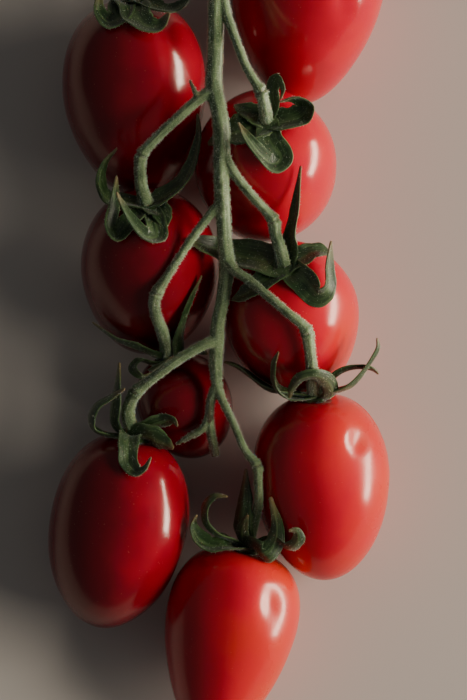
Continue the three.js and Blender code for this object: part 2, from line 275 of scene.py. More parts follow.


# %% [markdown]
# ## The tomatoes' skin
# Ripe skin is a thin clear wax over red flesh. It shows three things: a deep crimson, light that
# soaks in and comes out red, and a soft highlight that is slightly broken by fine waves and tiny
# pale pores. A clear coat over a rougher layer gives the highlight its bright core and soft edge.
# Each point of a fruit carries its own measure of ripeness and painted light, which picks its
# colour and how hazy its wax is. The right side of each fruit, which faces the window, is painted
# light as a warmer, more orange red; the fruits on the left, which lie in shade, are painted a
# darker crimson, partly as painted shade and partly as deeper ripeness.

# %% Tomato skin material
# The first two reds are mixed by each point's measure of ripeness and painted light, so the darker
# one is partly painted shade. The third red is painted light: the warmer orange of a side that
# faces the window.
DEEP_RED = (0.15, 0.001, 0.009)
RIPE_LIT_RED = (0.6, 0.006, 0.03)
PAINTED_LIT_RED = (0.6, 0.036, 0.012)
PORE_COLOUR = (0.9, 0.36, 0.22)
WAX_TINT = (1, 0.88, 0.76)
WAX_BLOOM = 0.14  # how much rougher the wax is where the measure of ripeness and painted light is highest
# A scale says how many waves, clouds or pores fit in a metre. A size is a depth and a strength.
WAX_ROUGHNESS, GLOSS_SCALE = (0.15, 0.21), 160
RIPE_AND_LIT_SPAN, PAINTED_LIT_SPAN, BLOOMING = (0, 0.9), (0.8, 1.2), (0.85, 1.2)  # from and to how much ripeness and painted light
NOISE_SPAN = (0.3, 0.7)  # nearly all values of a noise lie in it
CLOUD_SCALE, CLOUD_SPAN, CLOUD_TONE = 55, (0.35, 0.7), (-0.12, 0.15)
PORE_SCALE, PORE_RADII = 1000, (0.06, 0.13)
PORE_GROUP_SCALE, PORE_GROUP_SPAN, PORE_STRENGTH = 420, (0.5, 0.62), (0, 0.3)
WAVE_SCALE, WAVE_SIZE = 130, (0.0006, 0.12)
GRAIN_SCALE, GRAIN_SIZE = 1500, (0.0002, 0.07)


def make_skin():
    material, tree, shader = start_material("tomato_skin")
    place = add_node(tree, "ShaderNodeTexCoord").outputs["Object"]
    clouds = add_noise(tree, place, CLOUD_SCALE, detail=3)
    clouds = add_range(tree, clouds, CLOUD_SPAN, CLOUD_TONE)
    ripeness_and_painted_light = add_math(tree, "ADD", read_attribute(tree, "ripeness_and_painted_light"), clouds)
    colour = add_mix(tree, add_range(tree, ripeness_and_painted_light, RIPE_AND_LIT_SPAN), DEEP_RED, RIPE_LIT_RED)
    colour = add_mix(tree, add_range(tree, ripeness_and_painted_light, PAINTED_LIT_SPAN), colour, PAINTED_LIT_RED)
    pores = add_node(tree, "ShaderNodeTexVoronoi", {"Scale": PORE_SCALE, "Randomness": 1})
    tree.links.new(place, pores.inputs["Vector"])
    pore = add_range(tree, pores.outputs["Distance"], PORE_RADII, (1, 0))
    groups = add_noise(tree, place, PORE_GROUP_SCALE)
    sparse = add_range(tree, groups, PORE_GROUP_SPAN, PORE_STRENGTH)
    colour = add_mix(tree, add_math(tree, "MULTIPLY", pore, sparse), colour, PORE_COLOUR)
    tree.links.new(colour, shader.inputs["Base Color"])
    uneven = add_noise(tree, place, GLOSS_SCALE, detail=3)
    uneven = add_range(tree, uneven, NOISE_SPAN, WAX_ROUGHNESS)
    bloom = add_range(tree, read_attribute(tree, "ripeness_and_painted_light"), BLOOMING, (0, WAX_BLOOM))
    tree.links.new(add_math(tree, "ADD", uneven, bloom), shader.inputs["Roughness"])
    waves = add_bump(tree, add_noise(tree, place, WAVE_SCALE), WAVE_SIZE)
    grain = add_bump(tree, add_noise(tree, place, GRAIN_SCALE), GRAIN_SIZE, waves)
    tree.links.new(grain, shader.inputs["Normal"])
    set_sockets(shader, {
        "Specular IOR Level": 0.5, "Specular Tint": (*WAX_TINT, 1),
        "Subsurface Weight": 0.32, "Subsurface Radius": (1, 0.16, 0.08), "Subsurface Scale": 0.005,
        "Coat Weight": 0.2, "Coat Roughness": 0.1,
    })
    return material


SKIN = make_skin()
print("skin nodes:", len(SKIN.node_tree.nodes))

# %% [markdown]
# ## A fruit
# A plum tomato is round in section and tapers to its tip, with a dimple where the stalk sits. We
# could sculpt it from a cube, but a spin is truer: half a circle is spun round the fruit's own axis
# into a ball, and the ball's points are then moved by the same few measures as the imported fruit.
# Each real fruit also has soft flats, ribs on its shoulders and sometimes a thumb-like dent.

# %% Fruit measures
# Centre, half length and half width in mm, lean and rise of the stalk end in degrees, taper,
# ripeness and painted shade (lower is darker: the fruits on the left are painted darker, partly for
# the shade they lie in and partly for deeper ripeness), and dents: the place seen from above, half
# width, half length and depth, all in mm.
FRUIT_MEASURES = ("x", "y", "length", "width", "lean", "rise", "taper", "ripeness_and_painted_light", "dents")
FRUITS = [dict(zip(FRUIT_MEASURES, row)) for row in (
    (-21.25, 48, 25.4, 18.2, 3, 20, 0.17, 0.1, []),
    (21.25, 71, 25.6, 19.5, -5, 21, 0.28, 0.6, [(30.5, 71.5, 2.2, 4, 0.6)]),
    (11.5, 30.5, 21.6, 18, 0, 58, 0.08, 0.7, []),
    (-17.75, 4, 22.8, 17.4, 1, 40, 0.12, 0.1, []),
    (18, -7.75, 22.2, 17, 9, 52, 0.08, 0.7, []),
    (-8.75, -29, 14.4, 12, 22, 30, 0.05, 0, []),
    (25.5, -49.5, 24, 17.5, 4, 14, 0.14, 0.8,
     [(35, -37.2, 3.2, 4.4, 0.95), (34.6, -41, 7, 11, 0.6)]),
    (-25.75, -60.5, 25, 17.6, -11, 12, 0.1, 0.1, []),
    (1.5, -89.25, 25.6, 16.9, -12, 6, 0.34, 0.85,
     [(13.4, -78.2, 2.9, 4.4, 0.9), (13.2, -78.2, 6, 9, 0.5)]),
)]
BELLY_FLAT = 0.2  # how far the lowest skin is pressed flat
BELLY_ANGLES = (-90, -80, -70, -100, -110)  # where round a fruit its lowest skin can be
DIMPLE_DEPTH, DIMPLE_RADIUS = 1.8, 4
LOBES, LOBE_HEIGHT = 5, 0.014
SHOULDER_FULLNESS, TIP_FULLNESS = 0.87, 0.95
print("fruits to grow:", len(FRUITS))


def fruit_turn(fruit):
    rise = Matrix.Rotation(math.radians(fruit["rise"]), 3, "X")
    return Matrix.Rotation(math.radians(fruit["lean"]), 3, "Z") @ rise


def skin_point(fruit, unit):
    """Where a point of the unit ball comes to lie on the fruit's skin, in mm round its centre."""
    around = math.atan2(unit.z, unit.x)
    radial = min(1, math.hypot(unit.x, unit.z))
    fullness = TIP_FULLNESS + (SHOULDER_FULLNESS - TIP_FULLNESS) * (1 + unit.y) / 2
    lobe = 1 + LOBE_HEIGHT * math.cos(LOBES * around) * radial * max(0, unit.y)
    widest = math.sqrt(1 + fruit["taper"] ** 2)
    reach = fruit["width"] * radial ** fullness * (1 + fruit["taper"] * unit.y) * lobe / widest
    dimple = DIMPLE_DEPTH * math.exp(-((reach / DIMPLE_RADIUS) ** 2)) if unit.y > 0 else 0
    along = fruit["length"] * unit.y - dimple
    return fruit_turn(fruit) @ Vector((reach * math.cos(around), along, reach * math.sin(around)))


def centre_height(fruit):
    """The height of the fruit's centre when its lowest skin is pressed flat on the table."""
    lowest = 0
    for degrees in range(2, 180, 2):
        along = math.radians(degrees)
        for angle in BELLY_ANGLES:
            turn = math.radians(angle)
            radial = math.sin(along)
            unit = Vector((radial * math.cos(turn), math.cos(along), radial * math.sin(turn)))
            lowest = min(lowest, skin_point(fruit, unit).z)
    return -lowest - BELLY_FLAT


# %% Spin a ball
PROFILE_POINTS, SPIN_STEPS = 34, 52
BALL_SEAM = 1e-4


def spin_ball():
    start_clean()
    bpy.ops.mesh.primitive_circle_add(vertices=2 * PROFILE_POINTS, radius=1, fill_type="NOTHING")
    ball = bpy.context.object
    bpy.ops.object.mode_set(mode="EDIT")
    select_where(ball, "VERT", lambda point: point.co.x < -BALL_SEAM)
    bpy.ops.mesh.delete(type="VERT")
    bpy.ops.mesh.select_all(action="SELECT")
    bpy.ops.mesh.spin(steps=SPIN_STEPS, angle=2 * math.pi, center=(0, 0, 0), axis=(0, 1, 0))
    close_seams(BALL_SEAM)
    return ball


plain_ball = spin_ball()
print("ball faces:", len(plain_ball.data.polygons))

# %% [markdown]
# The dents and the soft flats are pressed in after the ball has its shape and one more subdivision,
# because they are finer than the first mesh. A flat is a slow wave of noise, less than half a
# millimetre high, and it is what makes a highlight bend as it does on a real fruit.

# %% Shape and finish a fruit
FLAT_HEIGHT, FLAT_SCALE = 0.42, 62
FLAT_SINK = 0.3  # the share of that height by which the skin is lowered, to keep its measures
PAINTED_SIDE_LIGHT = 0.35  # painted light: how much warmer the right side of a fruit, which faces the window, is painted


def press_dents(fruit, point, outward):
    depth = 0
    for x, y, half_width, half_length, deep in fruit["dents"]:
        spread = ((point.x / MM - x) / half_width) ** 2 + ((point.y / MM - y) / half_length) ** 2
        if outward.z > 0:
            depth += deep * math.exp(-spread)
    return depth * MM


def grow_fruit(number, fruit):
    start_clean()
    ball = plain_ball.copy()
    ball.data = plain_ball.data.copy()
    ball.name = f"fruit_{number}"
    bpy.context.collection.objects.link(ball)
    centre = Vector((fruit["x"], fruit["y"], centre_height(fruit)))
    for vertex in ball.data.vertices:
        vertex.co = (centre + skin_point(fruit, vertex.co)) * MM
    apply_modifier(ball, "SUBSURF", levels=1, render_levels=1)
    normals = [vertex.normal.copy() for vertex in ball.data.vertices]
    sink = FLAT_SINK * FLAT_HEIGHT * MM
    for vertex, outward in zip(ball.data.vertices, normals):
        wave = noise.noise(vertex.co * FLAT_SCALE + Vector((number, 0, 0))) * FLAT_HEIGHT * MM
        vertex.co += outward * (wave - sink - press_dents(fruit, vertex.co, outward))
        vertex.co.z = max(vertex.co.z, 0)
    # Each point's measure is its fruit's own value, partly painted shade, plus painted light on the
    # side that faces the window.
    write_marks(ball, {"ripeness_and_painted_light": [fruit["ripeness_and_painted_light"] + PAINTED_SIDE_LIGHT * outward.x for outward in normals]})
    hand_over(ball, SKIN, f"tomato_{number}")
    return ball


fruits = [grow_fruit(number, fruit) for number, fruit in enumerate(FRUITS, 1)]
bpy.data.objects.remove(plain_ball)
print("fruit faces:", [len(fruit.data.polygons) for fruit in fruits])

# %% [markdown]
# ## Routes
# The stem, its stalks and the sepals all follow routes: a few listed points, joined by one smooth
# curve. A small frame travels along each curve without twisting, and gives every ring of a
# tube, or every row of a blade, its place and its sides.

# %% Smooth curves and travelling frames
UP = Vector((0, 0, 1))
SHORTEST_GAP = 1e-6
CURVE_STEP = 0.002  # the share of a curve over which its direction is read, ahead and back


def curve_point(points, share):
    """A point on the smooth curve through the points, with share from 0 to 1."""
    place = share * (len(points) - 1)
    i = min(int(place), len(points) - 2)
    here, there = points[i], points[i + 1]
    before = points[i - 1] if i > 0 else 2 * here - there
    after = points[i + 2] if i + 2 < len(points) else 2 * there - here
    first, middle, last = (
        max((b - a).length ** 0.5, SHORTEST_GAP)
        for a, b in ((before, here), (here, there), (there, after))
    )
    leave = (here - before) / first - (there - before) / (first + middle) + (there - here) / middle
    arrive = (there - here) / middle - (after - here) / (middle + last) + (after - there) / last
    leave, arrive, w = leave * middle, arrive * middle, place - i
    square, cube = w * w, w * w * w
    return (
        here * (2 * cube - 3 * square + 1) + leave * (cube - 2 * square + w)
        + there * (3 * square - 2 * cube) + arrive * (cube - square)
    )


def travelling_frames(points, steps, first_normal):
    """At each step along the curve: its centre, where it runs, and its two sides."""
    frames = []
    normal = first_normal.copy()
    for i in range(steps + 1):
        share = i / steps
        ahead = curve_point(points, min(1, share + CURVE_STEP))
        back = curve_point(points, max(0, share - CURVE_STEP))
        along = (ahead - back).normalized()
        normal = (normal - along * normal.dot(along)).normalized()
        frames.append((curve_point(points, share), along, along.cross(normal), normal))
    return frames


def between(values, share):
    """The value at a share of the way along a list of evenly spaced values."""
    place = share * (len(values) - 1)
    i = min(int(place), len(values) - 2)
    return values[i] + (values[i + 1] - values[i]) * (place - i)


# %% [markdown]
# ## The stem
# A truss is one grown thing: the main stem swells a little where each stalk leaves it, and each
# stalk has a knuckle, the joint where a ripe fruit lets go. Loose tubes would show a hard line
# where they meet. So each stretch starts as a cylinder that is cut into rings and bent along its
# route, all of them are joined, and a voxel remesh melts them into one skin with soft crooks.

# %% Stem routes
# x, y, z and radius in mm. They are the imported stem's own points and radii.
MAIN_STEM = [
    (-0.5, 113.75, 33, 2.1), (-0.5, 101, 35.5, 2.3), (-1, 93, 37, 2.1), (-1, 86, 38, 2.3),
    (-1, 72.5, 39.5, 2.05), (-1.25, 58, 40.5, 2.05), (-1.5, 50, 40.8, 2.3),
    (-0.25, 44, 41, 2.15), (0.5, 37.5, 41.2, 2.3), (0.25, 31, 41.2, 2), (0.5, 25, 40.6, 2.1),
    (0.75, 19.25, 39.6, 2), (1.25, 11, 37.2, 1.95), (1.75, 6, 35.6, 2.25),
    (1.25, 1.5, 34.4, 1.95), (0.5, -3.5, 33.5, 1.8), (-0.5, -8, 33, 1.85), (-0.75, -12, 32.2, 2),
    (-1, -16, 30.8, 1.85), (-1, -20, 29.2, 1.75), (-0.75, -24, 27.4, 1.5),
]
STALKS = [
    [
        (-1, 86, 38, 1.7), (-3.75, 85, 38.6, 1.5), (-8.75, 82.5, 38.8, 1.35),
        (-13.75, 80.25, 37.8, 1.4), (-17.25, 78.5, 36, 1.8), (-20, 76, 33.2, 1.6),
        (-21.5, 73.75, 30, 1.7),
    ],
    [
        (-0.5, 101, 35.5, 1.7), (3, 101.75, 36.2, 1.5), (8.75, 102, 36.4, 1.35),
        (13, 101.5, 35.6, 1.4), (15.75, 100.5, 34.4, 1.8), (19, 98.5, 31.6, 1.6),
        (21.5, 96.75, 29, 1.7),
    ],
    [
        (-1, 77, 39.2, 1.6), (0.75, 72.5, 39.8, 1.4), (1.75, 67.75, 40.8, 1.25),
        (4.25, 60.5, 42.8, 1.2), (6.25, 55.25, 44.2, 1.2), (8.75, 50.75, 45.2, 1.25),
        (10, 48.75, 45.1, 1.7), (10.75, 46.25, 44, 1.55), (11.25, 43.5, 41.4, 1.7),
    ],
    [
        (-1.25, 49.5, 40.8, 1.8), (-4.75, 47.25, 41.2, 1.5), (-10.5, 42.25, 41.4, 1.35),
        (-16, 37, 41, 1.35), (-19.25, 33.25, 40, 1.6), (-19.75, 30.5, 38.6, 1.55),
        (-19.5, 26, 36.6, 1.6), (-18.75, 23, 35, 1.75),
    ],
    [
        (0.25, 36, 41.2, 1.6), (2, 31.25, 41.4, 1.4), (3.75, 28.25, 41.3, 1.3),
        (7.75, 23.25, 40.7, 1.3), (11.25, 19.5, 39.7, 1.3), (13.25, 17, 38.9, 1.75),
        (13.75, 13.5, 38.3, 1.6), (15, 9.75, 37.9, 1.75),
    ],
    [
        (0.5, 21.5, 39.8, 1.5), (-1.75, 19.25, 39.8, 1.3), (-5.5, 14.5, 39.5, 1.2),
        (-9.5, 8.75, 39.8, 1.15), (-13, 3.25, 39.9, 1.2), (-15.5, -0.75, 38.9, 1.6),
        (-16.25, -3.5, 37, 1.5), (-15.75, -6.75, 34.4, 1.5), (-14.5, -10, 31, 1.55),
        (-13.5, -13.5, 26.6, 1.6),
    ],
    [
        (1.5, 7.5, 36.2, 1.6), (3.75, 4.75, 37.8, 1.4), (7.5, 2, 39.4, 1.3),
        (12.5, -2.25, 42, 1.25), (17.5, -6.5, 42.8, 1.25), (20.25, -8.75, 42.6, 1.35),
        (21.5, -10.5, 41.9, 1.75), (22, -13.5, 40, 1.5), (22.5, -17.25, 36.8, 1.5),
        (23, -21, 32.2, 1.6), (23.25, -23.75, 27.6, 1.75),
    ],
    [
        (-0.75, -12.5, 32.2, 1.7), (-3, -13.25, 33, 1.5), (-6, -14.75, 33.6, 1.4),
        (-10.25, -17.25, 33.4, 1.35), (-14.75, -20.5, 32.2, 1.35), (-18.75, -23.5, 30.6, 1.45),
        (-20.75, -25.25, 29.4, 1.75), (-22.25, -27.75, 27.6, 1.65), (-23, -31, 25.4, 1.75),
    ],
    [
        (-0.75, -23.5, 27.6, 1.4), (0.25, -26.75, 27.6, 1.2), (3, -32.5, 27.9, 1.1),
        (6.25, -40, 28.3, 1.1), (9.25, -44, 28.6, 1.5), (9.5, -47.75, 28.7, 1.25),
        (9.5, -53.75, 25.6, 1.3), (8, -60, 21.6, 1.5),
    ],
]
STUBS = [
    [(-0.75, -23.5, 27.5, 1.45), (-2.25, -27.5, 26.4, 1.3), (-2.75, -32.5, 25.6, 1.25)],
    [
        (-2.75, -31.25, 25.7, 1.25), (-4.25, -34.5, 25.2, 1.1), (-7.5, -36.5, 24.6, 0.95),
        (-11, -38.5, 23.6, 0.55),
    ],
    [(-2.75, -31.25, 25.7, 1.25), (-2, -37, 24.6, 1.3), (-1, -41.5, 23.4, 1.25)],
    [(-5.25, 46.75, 41.2, 0.9), (-6.5, 49.5, 42.6, 0.7), (-7.5, 51.75, 43.4, 0.45)],
]
STALK_END_LIFT, STALK_END_RADIUS = 1.7, 1.9


def fruit_axis(fruit):
    return fruit_turn(fruit) @ Vector((0, 1, 0))


def dimple_point(fruit, lift):
    """The bottom of a fruit's dimple, raised along its axis, in mm."""
    centre = Vector((fruit["x"], fruit["y"], centre_height(fruit)))
    return centre + fruit_axis(fruit) * (fruit["length"] - DIMPLE_DEPTH + lift)


for stalk, fruit in zip(STALKS, FRUITS):
    stalk.append((*dimple_point(fruit, STALK_END_LIFT), STALK_END_RADIUS))
STEM_ROUTES = [MAIN_STEM, *STALKS, *STUBS]
print("stretches of stem:", len(STEM_ROUTES))

# %% Bend cylinders along the routes
TUBE_SIDES, RINGS_PER_POINT = 14, 5
DOWN_DEPTH = 0.1 * MM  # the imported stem's radius includes its down, which is grown later


def bent_tube(route):
    """A cylinder whose rings follow the route, with the route's own radii less the down."""
    points = [Vector(point[:3]) * MM for point in route]
    radii = [point[3] * MM - DOWN_DEPTH for point in route]
    steps = (len(route) - 1) * RINGS_PER_POINT
    start_clean()
    bpy.ops.mesh.primitive_cylinder_add(vertices=TUBE_SIDES, radius=1, depth=1, location=(0, 0, 0))
    tube = bpy.context.object
    bpy.ops.object.mode_set(mode="EDIT")
    # Only the edges that run along the cylinder are cut, so the cuts are its rings.
    select_where(tube, "EDGE", lambda edge: abs(edge.verts[0].co.z - edge.verts[1].co.z) > 0.5)
    bpy.ops.mesh.subdivide(number_cuts=steps - 1)
    bpy.ops.object.mode_set(mode="OBJECT")
    rings = travelling_frames(points, steps, UP)
    for vertex in tube.data.vertices:
        share = vertex.co.z + 0.5
        centre, _, across, normal = rings[round(share * steps)]
        radius = between(radii, share)
        vertex.co = centre + (across * vertex.co.x + normal * vertex.co.y) * radius
    return tube


VOXEL = 0.3 * MM

stem = join_pieces([bent_tube(route) for route in STEM_ROUTES], "stem")
apply_modifier(stem, "REMESH", mode="VOXEL", voxel_size=VOXEL)
apply_modifier(stem, "SMOOTH", factor=0.5, iterations=8)
print("stem faces:", len(stem.data.polygons))

# %% [markdown]
# The skin of a tomato stem is ribbed lengthwise, and each knuckle has a fine groove round it. To
# put these on the melted mesh, every vertex looks up the nearest ring of the nearest route. That
# tells it how far round the stem it sits, and how far along, which the material reads as well.

# %% Ribs, knuckle grooves and marks for the material
# Heights, depths, widths and lengths in mm.
RIBS, RIB_HEIGHT = 6, 0.07
FULL_RIB_RADIUS = 1.6  # a thinner stretch has lower ribs
# The knuckle groove takes the dry colour: partly dry skin, partly painted shade in the groove.
GROOVE_DEPTH, GROOVE_HALF_WIDTH, GROOVE_DRYNESS_AND_SHADE = 0.24, 0.3, 0.6
COLLAR_HEIGHT, COLLAR_PLACE, COLLAR_HALF_WIDTH = 0.22, 0.75, 0.4
WART_HEIGHT, WART_SCALE = 0.07, 900
DRY_END_LENGTH = 8
MIDDLE_SHADE, RIB_SHADE = 0.48, 0.15  # how pale the skin is, and how much paler on a rib
PAINTED_STEM_LIGHT = 0.38  # painted light: how much paler the stem is painted on its right side, which faces the window
VEIN_SPREAD, VEIN_LENGTH = 0.6, 12
RINGS_PER_STRETCH, RINGS_COMPARED = 8, 6
KNUCKLE_REACH = 4 * MM
FAR_AWAY = 1  # a metre, which no groove and no dry end reaches


def route_samples(routes):
    """Every route's frames with its radius, distance from the knuckle and from its free end."""
    samples = []
    for number, route in enumerate(routes):
        points = [Vector(point[:3]) * MM for point in route]
        radii = [point[3] * MM for point in route]
        steps = (len(route) - 1) * RINGS_PER_STRETCH
        if 0 < number <= len(STALKS):
            inner = range(2, len(route) - 2)
            knuckle, free_end = points[max(inner, key=lambda i: route[i][3])], None
        else:
            knuckle, free_end = None, points[0 if number == 0 else -1]
        rings = travelling_frames(points, steps, UP)
        for i, (centre, along, across, normal) in enumerate(rings):
            to_knuckle = to_end = FAR_AWAY
            if knuckle is not None and (centre - knuckle).length <= KNUCKLE_REACH:
                to_knuckle = (centre - knuckle).dot(along)
            if free_end is not None:
                to_end = (centre - free_end).length
            radius = between(radii, i / steps)
            samples.append((centre, along, across, normal, radius, to_knuckle, to_end))
    return samples


samples = route_samples(STEM_ROUTES)
finder = kdtree.KDTree(len(samples))
for i, sample in enumerate(samples):
    finder.insert(sample[0], i)
finder.balance()

stem_marks = {"rib": [], "dry": [], "across": [], "along": []}
for vertex in stem.data.vertices:
    nearest = min((samples[i] for _, i, _ in finder.find_n(vertex.co, RINGS_COMPARED)),
                  key=lambda sample: (vertex.co - sample[0]).length - sample[4])
    centre, along, across, normal, radius, to_knuckle, to_end = nearest
    offset = vertex.co - centre
    around = math.atan2(offset.dot(across), offset.dot(normal))
    rib = math.cos(RIBS * around)
    lift = RIB_HEIGHT * rib * min(1, radius / (FULL_RIB_RADIUS * MM))
    lift += WART_HEIGHT * noise.noise(vertex.co * WART_SCALE)
    from_groove = (to_knuckle + offset.dot(along)) / MM
    groove = math.exp(-((from_groove / GROOVE_HALF_WIDTH) ** 2))
    lift -= GROOVE_DEPTH * groove
    from_collar = abs(from_groove) - COLLAR_PLACE
    lift += COLLAR_HEIGHT * math.exp(-((from_collar / COLLAR_HALF_WIDTH) ** 2))
    outward = offset - along * offset.dot(along)
    outward.normalize()
    vertex.co += outward * lift * MM
    end = max(0, 1 - to_end / (DRY_END_LENGTH * MM))
    # The rib mark holds the rib's paleness and painted light: the right side, which faces the
    # window, is painted paler.
    stem_marks["rib"].append(rib * RIB_SHADE + MIDDLE_SHADE + PAINTED_STEM_LIGHT * outward.x)
    # The dry mark is dry skin at the free ends, and partly painted shade in the knuckle grooves.
    stem_marks["dry"].append(min(1, GROOVE_DRYNESS_AND_SHADE * groove + end))
    stem_marks["across"].append(abs(around) * VEIN_SPREAD)
    stem_marks["along"].append(vertex.co.y / MM / VEIN_LENGTH)
write_marks(stem, stem_marks)
print("rings along the routes:", len(samples))

# %% [markdown]
# ## Green skins
# The stem is a matt mid green, paler on its ribs, and painted paler on its right side, which faces
# the window, as painted light. It is dry and brown at its ends, and darker in its grooves, which is
# partly dry skin and partly painted shade. The sepals are darker, with a paler rib down the middle,
# paler rims, which are partly a painted highlight where light catches the edges, and tips that have
# begun to dry. Veins run lengthwise in both. A little sheen stands for the down that is too fine
# to model.

# %% Stem material
# Each green skin has a dark, a pale and a dry colour.
STEM_COLOURS = (0.025, 0.06, 0.017), (0.46, 0.62, 0.33), (0.06, 0.05, 0.025)
GREEN_ROUGHNESS = (0.4, 0.54)
VEINS = {"across": 8, "along": 2.5, "blade": 1}  # how many fit in one unit of each mark
RIB_PALENESS, PATCH_PALENESS = (0, 0.5), (-0.1, 0.22)
VEIN_SPAN, VEIN_DARKENING, VEIN_PALENESS = (0.45, 0.7), -0.1, 0.3
DOWN_SCALE, DOWN_SIZE, PATCH_SIZE = 2600, (0.0002, 0.35), (0.0003, 0.2)
FURROW_DEPTH, FURROW_STRENGTH = 0.0004, 0.5


def make_green(name, dark, pale, dry, patch_scale, vein_depth):
    material, tree, shader = start_material(name)
    place = add_node(tree, "ShaderNodeTexCoord").outputs["Object"]
    patches = add_noise(tree, place, patch_scale, detail=4)
    marks = add_node(tree, "ShaderNodeCombineXYZ")
    for socket, (mark, stretch) in zip(marks.inputs, VEINS.items()):
        tree.links.new(add_math(tree, "MULTIPLY", read_attribute(tree, mark), stretch), socket)
    veins = add_noise(tree, marks.outputs["Vector"], scale=1, detail=3)
    # The rib mark is paleness with painted light in it: the stem's painted paler right side, and
    # the sepals' rims, which are partly a painted highlight.
    shade = add_range(tree, read_attribute(tree, "rib"), (0, 1), RIB_PALENESS)
    for pattern, span, paleness in (
        (patches, NOISE_SPAN, PATCH_PALENESS),
        (veins, VEIN_SPAN, (VEIN_DARKENING, VEIN_PALENESS * vein_depth)),
    ):
        shade = add_math(tree, "ADD", shade, add_range(tree, pattern, span, paleness))
    colour = add_mix(tree, shade, dark, pale)
    colour = add_mix(tree, read_attribute(tree, "dry"), colour, dry)
    tree.links.new(colour, shader.inputs["Base Color"])
    roughness = add_range(tree, patches, NOISE_SPAN, GREEN_ROUGHNESS)
    tree.links.new(roughness, shader.inputs["Roughness"])
    down = add_bump(tree, add_noise(tree, place, DOWN_SCALE, detail=3), DOWN_SIZE)
    furrows = add_bump(tree, veins, (FURROW_DEPTH, FURROW_STRENGTH * vein_depth), down)
    tree.links.new(add_bump(tree, patches, PATCH_SIZE, furrows), shader.inputs["Normal"])
    set_sockets(shader, {
        "Specular IOR Level": 0.9, "Sheen Weight": 0.2, "Sheen Roughness": 0.4,
        "Subsurface Weight": 0.08, "Subsurface Radius": (0.5, 1, 0.2), "Subsurface Scale": 0.001,
    })
    return material


STEM_SKIN = make_green("stem_skin", *STEM_COLOURS, patch_scale=260, vein_depth=0.3)
hand_over(stem, STEM_SKIN, "truss_stem")

# %% Sepal material
SEPAL_COLOURS = (0.012, 0.036, 0.008), (0.17, 0.27, 0.1), (0.22, 0.15, 0.07)
SEPAL_SKIN = make_green("sepal_skin", *SEPAL_COLOURS, patch_scale=420, vein_depth=0.8)

# %% [markdown]
# ## The calyxes
# Each calyx is a star of five or six sepals that curl as they dry. A sepal is a thin pointed blade
# with a rib down its middle and its edges turned up. It starts as a flat grid that is bent along
# its own route, like a strip of paper along a wire, and a Solidify gives it its thickness. Where
# a blade would dip into a fruit it is laid on the skin instead.

